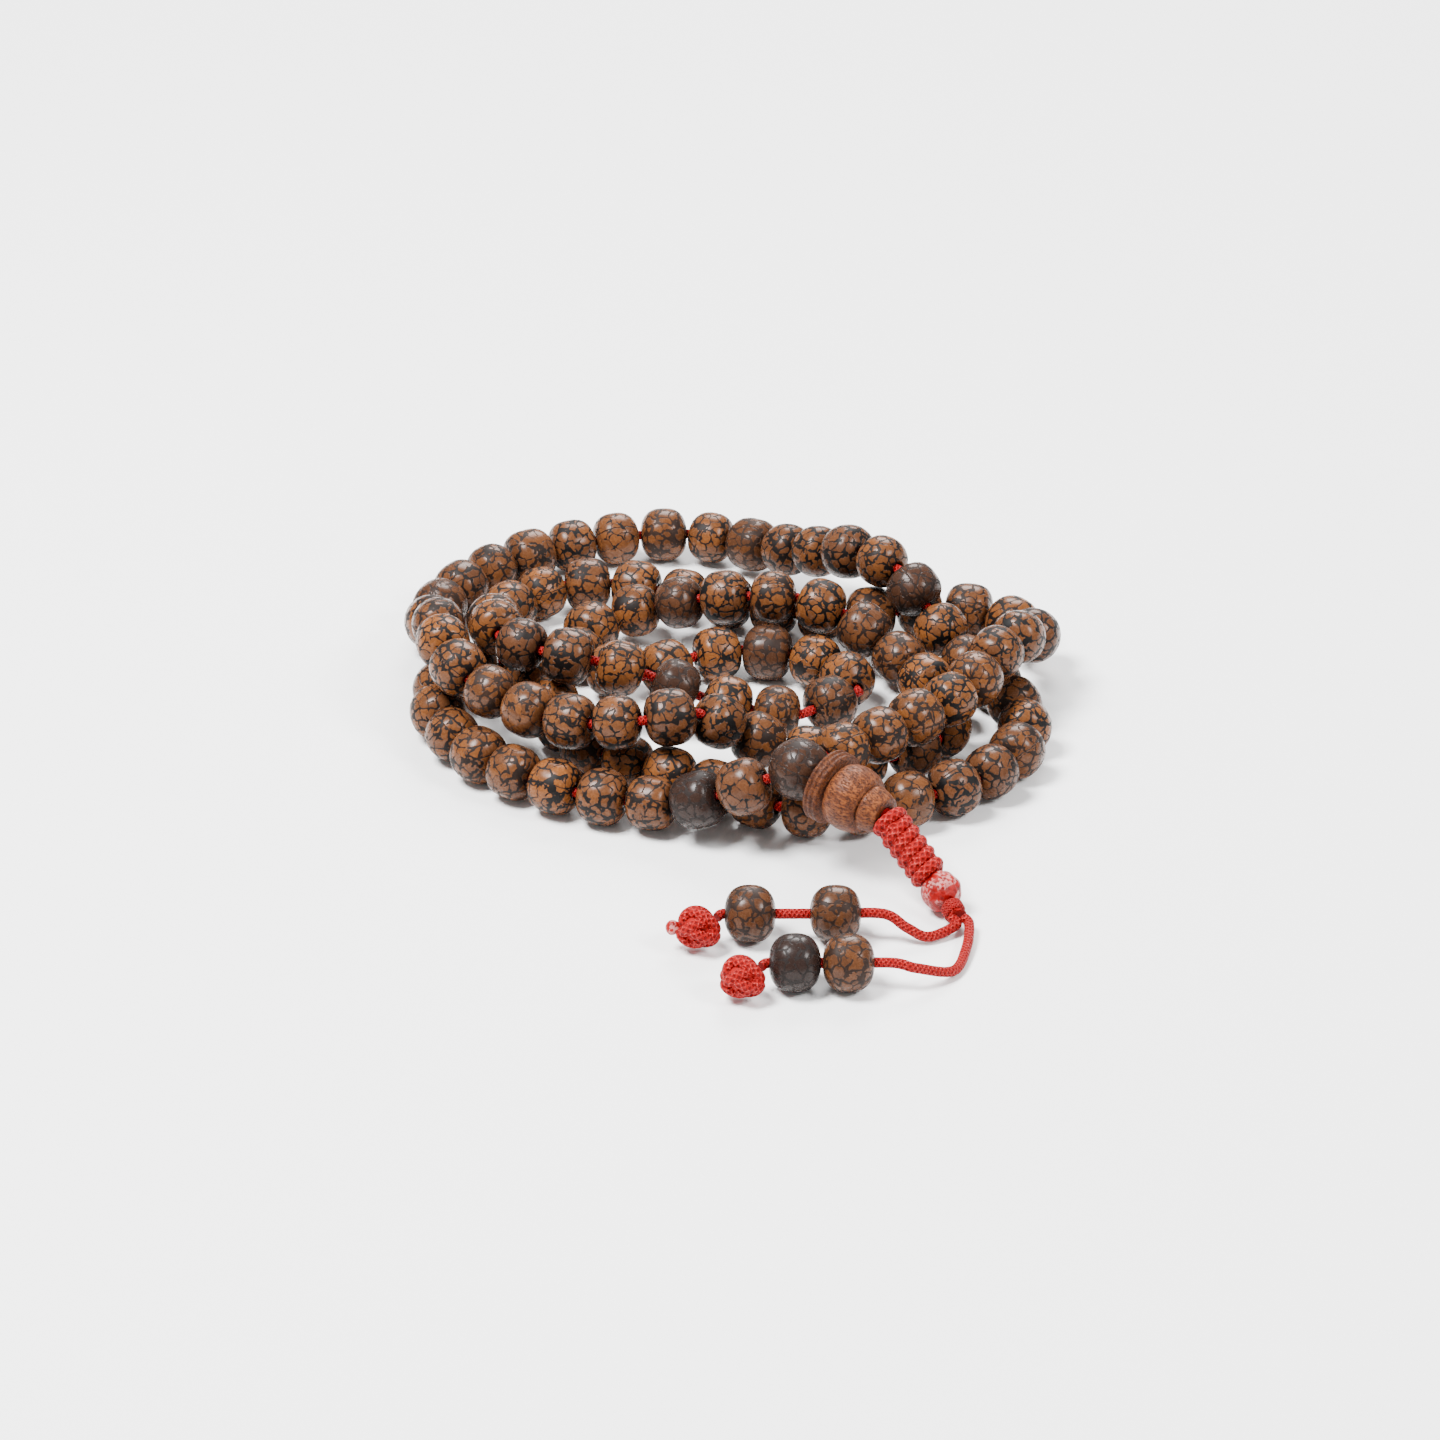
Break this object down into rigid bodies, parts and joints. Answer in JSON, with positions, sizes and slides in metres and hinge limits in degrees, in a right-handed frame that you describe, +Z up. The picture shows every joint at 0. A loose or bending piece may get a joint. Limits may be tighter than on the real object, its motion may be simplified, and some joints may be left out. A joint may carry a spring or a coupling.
{
  "type": "mala prayer beads",
  "caption": "Mala of polished brown seed beads lying in a loose pile, with a turned wooden guru tower, red braid and two tails of counter beads.",
  "frame": {"origin": "middle of the pile's base on the floor, without the free tails", "axes": "+Z up, +X to the right seen from the tails' side, +Y away from the tails; the pile is longest along Y"},
  "size_m": [0.0967, 0.1385, 0.017],
  "materials": {
    "seed": "semi-gloss, polished, dark vein network",
    "dark_seed": "satin, dark purple-brown",
    "turned_wood": "satin, fine grain",
    "red_cord": "braided nylon",
    "fused_cord": "melted nylon"
  },
  "bodies": {
    "pile": {"string": "red_cord", "guru_bead": "dark_seed", "tower_core": "red_cord", "sinnet": "red_cord", "fused_knot": "fused_cord", "collar": "red_cord", "tail_cord_a": "red_cord", "tail_cord_b": "red_cord", "end_knot_a": "red_cord", "end_knot_b": "red_cord", "beads_run_1": "seed", "beads_run_2": "seed", "beads_run_3": "seed", "beads_run_4": "seed", "beads_run_5": "seed"},
    "tower": {"guru_tower": "turned_wood"},
    "counter_a1_body": {"counter_a1": "seed"},
    "counter_a2_body": {"counter_a2": "seed"},
    "counter_b1_body": {"counter_b1": "seed"},
    "counter_b2_body": {"counter_b2": "dark_seed"},
    "bead_30_body": {"bead_30": "seed"},
    "bead_31_body": {"bead_31": "seed"},
    "bead_32_body": {"bead_32": "seed"},
    "bead_33_body": {"bead_33": "seed"},
    "bead_34_body": {"bead_34": "seed"},
    "bead_35_body": {"bead_35": "seed"},
    "bead_36_body": {"bead_36": "seed"},
    "bead_37_body": {"bead_37": "seed"},
    "bead_38_body": {"bead_38": "seed"},
    "bead_39_body": {"bead_39": "seed"},
    "bead_40_body": {"bead_40": "seed"},
    "bead_41_body": {"bead_41": "seed"},
    "bead_42_body": {"bead_42": "seed"},
    "bead_43_body": {"bead_43": "seed"},
    "bead_44_body": {"bead_44": "seed"},
    "bead_45_body": {"bead_45": "seed"},
    "bead_46_body": {"bead_46": "seed"},
    "bead_47_body": {"bead_47": "seed"},
    "bead_48_body": {"bead_48": "seed"},
    "bead_49_body": {"bead_49": "seed"},
    "bead_50_body": {"bead_50": "seed"},
    "bead_51_body": {"bead_51": "seed"},
    "bead_52_body": {"bead_52": "seed"},
    "bead_53_body": {"bead_53": "seed"},
    "bead_54_body": {"bead_54": "seed"},
    "bead_55_body": {"bead_55": "seed"},
    "bead_76_body": {"bead_76": "seed"},
    "bead_77_body": {"bead_77": "seed"},
    "bead_78_body": {"bead_78": "seed"},
    "bead_79_body": {"bead_79": "seed"},
    "bead_80_body": {"bead_80": "seed"},
    "bead_81_body": {"bead_81": "seed"},
    "bead_82_body": {"bead_82": "seed"},
    "bead_83_body": {"bead_83": "seed"},
    "bead_84_body": {"bead_84": "seed"},
    "bead_85_body": {"bead_85": "seed"},
    "bead_86_body": {"bead_86": "seed"},
    "bead_87_body": {"bead_87": "seed"},
    "bead_88_body": {"bead_88": "seed"},
    "bead_89_body": {"bead_89": "seed"}
  },
  "joints": [
    {"name": "tower_spin", "type": "hinge", "parent": "pile", "child": "tower", "pos_m": [0.01289, -0.03995, 0.01187], "axis": [0.7664, -0.6271, -0.1393], "continuous": true},
    {"name": "counter_a1_slide", "type": "slide", "parent": "pile", "child": "counter_a1_body", "axis": [1, 0, 0], "range_m": [0, 0.002]},
    {"name": "counter_a2_slide", "type": "slide", "parent": "pile", "child": "counter_a2_body", "axis": [1, 0, 0], "range_m": [-0.002, 0]},
    {"name": "counter_b1_slide", "type": "slide", "parent": "pile", "child": "counter_b1_body", "axis": [1, 0, 0], "range_m": [0, 0.002]},
    {"name": "counter_b2_spin", "type": "hinge", "parent": "pile", "child": "counter_b2_body", "pos_m": [0.00832, -0.07514, 0.004], "axis": [1, 0, 0], "continuous": true},
    {"name": "bead_30_spin", "type": "hinge", "parent": "pile", "child": "bead_30_body", "pos_m": [0.02699, 0.02258, 0.01034], "axis": [-0.5372, 0.6636, 0.5207], "continuous": true},
    {"name": "bead_31_spin", "type": "hinge", "parent": "pile", "child": "bead_31_body", "pos_m": [0.02243, 0.02804, 0.01219], "axis": [-0.6495, 0.7603, -0.0051], "continuous": true},
    {"name": "bead_32_spin", "type": "hinge", "parent": "pile", "child": "bead_32_body", "pos_m": [0.01753, 0.03375, 0.011], "axis": [-0.6177, 0.7179, -0.3212], "continuous": true},
    {"name": "bead_33_spin", "type": "hinge", "parent": "pile", "child": "bead_33_body", "pos_m": [0.0131, 0.03886, 0.00853], "axis": [-0.6143, 0.6999, -0.3643], "continuous": true},
    {"name": "bead_34_spin", "type": "hinge", "parent": "pile", "child": "bead_34_body", "pos_m": [0.0086, 0.04391, 0.0063], "axis": [-0.6467, 0.7162, -0.2624], "continuous": true},
    {"name": "bead_35_spin", "type": "hinge", "parent": "pile", "child": "bead_35_body", "pos_m": [0.00336, 0.0488, 0.00478], "axis": [-0.7741, 0.614, -0.1539], "continuous": true},
    {"name": "bead_36_spin", "type": "hinge", "parent": "pile", "child": "bead_36_body", "pos_m": [-0.00295, 0.05242, 0.0042], "axis": [-0.9331, 0.3597, 0.0003], "continuous": true},
    {"name": "bead_37_spin", "type": "hinge", "parent": "pile", "child": "bead_37_body", "pos_m": [-0.01022, 0.05347, 0.00419], "axis": [-0.9979, -0.0651, -0.0012], "continuous": true},
    {"name": "bead_38_spin", "type": "hinge", "parent": "pile", "child": "bead_38_body", "pos_m": [-0.01749, 0.05217, 0.00419], "axis": [-0.9554, -0.2952, 0.0014], "continuous": true},
    {"name": "bead_39_spin", "type": "hinge", "parent": "pile", "child": "bead_39_body", "pos_m": [-0.02415, 0.04966, 0.0042], "axis": [-0.9129, -0.4081, 0], "continuous": true},
    {"name": "bead_40_spin", "type": "hinge", "parent": "pile", "child": "bead_40_body", "pos_m": [-0.0305, 0.04609, 0.0042], "axis": [-0.8247, -0.5656, 0], "continuous": true},
    {"name": "bead_41_spin", "type": "hinge", "parent": "pile", "child": "bead_41_body", "pos_m": [-0.03607, 0.04146, 0.0042], "axis": [-0.7038, -0.7104, 0], "continuous": true},
    {"name": "bead_42_spin", "type": "hinge", "parent": "pile", "child": "bead_42_body", "pos_m": [-0.04043, 0.03571, 0.00417], "axis": [-0.5007, -0.8656, -0.008], "continuous": true},
    {"name": "bead_43_spin", "type": "hinge", "parent": "pile", "child": "bead_43_body", "pos_m": [-0.04333, 0.02895, 0.00434], "axis": [-0.278, -0.959, 0.0545], "continuous": true},
    {"name": "bead_44_spin", "type": "hinge", "parent": "pile", "child": "bead_44_body", "pos_m": [-0.04445, 0.02187, 0.0054], "axis": [-0.0277, -0.9716, 0.2349], "continuous": true},
    {"name": "bead_45_spin", "type": "hinge", "parent": "pile", "child": "bead_45_body", "pos_m": [-0.04371, 0.01524, 0.00853], "axis": [0.2149, -0.7861, 0.5795], "continuous": true},
    {"name": "bead_46_spin", "type": "hinge", "parent": "pile", "child": "bead_46_body", "pos_m": [-0.04249, 0.0086, 0.01161], "axis": [0.1032, -0.9706, 0.2173], "continuous": true},
    {"name": "bead_47_spin", "type": "hinge", "parent": "pile", "child": "bead_47_body", "pos_m": [-0.04149, 0.00153, 0.01238], "axis": [0.1734, -0.9848, -0.0062], "continuous": true},
    {"name": "bead_48_spin", "type": "hinge", "parent": "pile", "child": "bead_48_body", "pos_m": [-0.03897, -0.00538, 0.01182], "axis": [0.4839, -0.8646, -0.1356], "continuous": true},
    {"name": "bead_49_spin", "type": "hinge", "parent": "pile", "child": "bead_49_body", "pos_m": [-0.03426, -0.01094, 0.01088], "axis": [0.7862, -0.6073, -0.1148], "continuous": true},
    {"name": "bead_50_spin", "type": "hinge", "parent": "pile", "child": "bead_50_body", "pos_m": [-0.02871, -0.01548, 0.01033], "axis": [0.7561, -0.6532, -0.0405], "continuous": true},
    {"name": "bead_51_spin", "type": "hinge", "parent": "pile", "child": "bead_51_body", "pos_m": [-0.02266, -0.01966, 0.01072], "axis": [0.8683, -0.4751, 0.1423], "continuous": true},
    {"name": "bead_52_spin", "type": "hinge", "parent": "pile", "child": "bead_52_body", "pos_m": [-0.01601, -0.0223, 0.01194], "axis": [0.9518, -0.2377, 0.1938], "continuous": true},
    {"name": "bead_53_spin", "type": "hinge", "parent": "pile", "child": "bead_53_body", "pos_m": [-0.00861, -0.02209, 0.01268], "axis": [0.9688, 0.2474, 0.015], "continuous": true},
    {"name": "bead_54_spin", "type": "hinge", "parent": "pile", "child": "bead_54_body", "pos_m": [-0.00178, -0.01972, 0.01072], "axis": [0.7496, 0.3643, -0.5527], "continuous": true},
    {"name": "bead_55_spin", "type": "hinge", "parent": "pile", "child": "bead_55_body", "pos_m": [0.0038, -0.01759, 0.00667], "axis": [0.7947, 0.2201, -0.5657], "continuous": true},
    {"name": "bead_76_spin", "type": "hinge", "parent": "pile", "child": "bead_76_body", "pos_m": [0.01686, 0.00555, 0.0042], "axis": [0.3982, -0.9173, 0], "continuous": true},
    {"name": "bead_77_spin", "type": "hinge", "parent": "pile", "child": "bead_77_body", "pos_m": [0.01427, -0.00186, 0.00424], "axis": [-0.7624, -0.647, 0.0072], "continuous": true},
    {"name": "bead_78_spin", "type": "hinge", "parent": "pile", "child": "bead_78_body", "pos_m": [0.00658, -0.00504, 0.00443], "axis": [-0.9917, 0.1219, 0.0422], "continuous": true},
    {"name": "bead_79_spin", "type": "hinge", "parent": "pile", "child": "bead_79_body", "pos_m": [-0.00052, -0.00407, 0.00534], "axis": [-0.9683, 0.1448, 0.2036], "continuous": true},
    {"name": "bead_80_slide", "type": "slide", "parent": "pile", "child": "bead_80_body", "axis": [-0.9185, 0.0493, 0.3923], "range_m": [-0.0004, 0.0004]},
    {"name": "bead_81_slide", "type": "slide", "parent": "pile", "child": "bead_81_body", "axis": [-0.9615, 0.0291, 0.2734], "range_m": [-0.0004, 0.0004]},
    {"name": "bead_82_spin", "type": "hinge", "parent": "pile", "child": "bead_82_body", "pos_m": [-0.02338, -0.0021, 0.01198], "axis": [-0.9736, 0.2104, 0.0888], "continuous": true},
    {"name": "bead_83_spin", "type": "hinge", "parent": "pile", "child": "bead_83_body", "pos_m": [-0.03012, 0.00076, 0.01237], "axis": [-0.8345, 0.5508, 0.016], "continuous": true},
    {"name": "bead_84_spin", "type": "hinge", "parent": "pile", "child": "bead_84_body", "pos_m": [-0.03404, 0.00716, 0.01192], "axis": [-0.1685, 0.9787, -0.1175], "continuous": true},
    {"name": "bead_85_spin", "type": "hinge", "parent": "pile", "child": "bead_85_body", "pos_m": [-0.0347, 0.0144, 0.00934], "axis": [0.0209, 0.8182, -0.5746], "continuous": true},
    {"name": "bead_86_spin", "type": "hinge", "parent": "pile", "child": "bead_86_body", "pos_m": [-0.03451, 0.02085, 0.00609], "axis": [0.0336, 0.947, -0.3196], "continuous": true},
    {"name": "bead_87_spin", "type": "hinge", "parent": "pile", "child": "bead_87_body", "pos_m": [-0.03295, 0.02788, 0.00452], "axis": [0.3753, 0.9215, -0.1001], "continuous": true},
    {"name": "bead_88_spin", "type": "hinge", "parent": "pile", "child": "bead_88_body", "pos_m": [-0.0283, 0.03371, 0.00417], "axis": [0.8108, 0.5853, 0.0075], "continuous": true},
    {"name": "bead_89_spin", "type": "hinge", "parent": "pile", "child": "bead_89_body", "pos_m": [-0.0215, 0.03644, 0.0042], "axis": [0.9939, 0.1106, 0], "continuous": true}
  ]
}
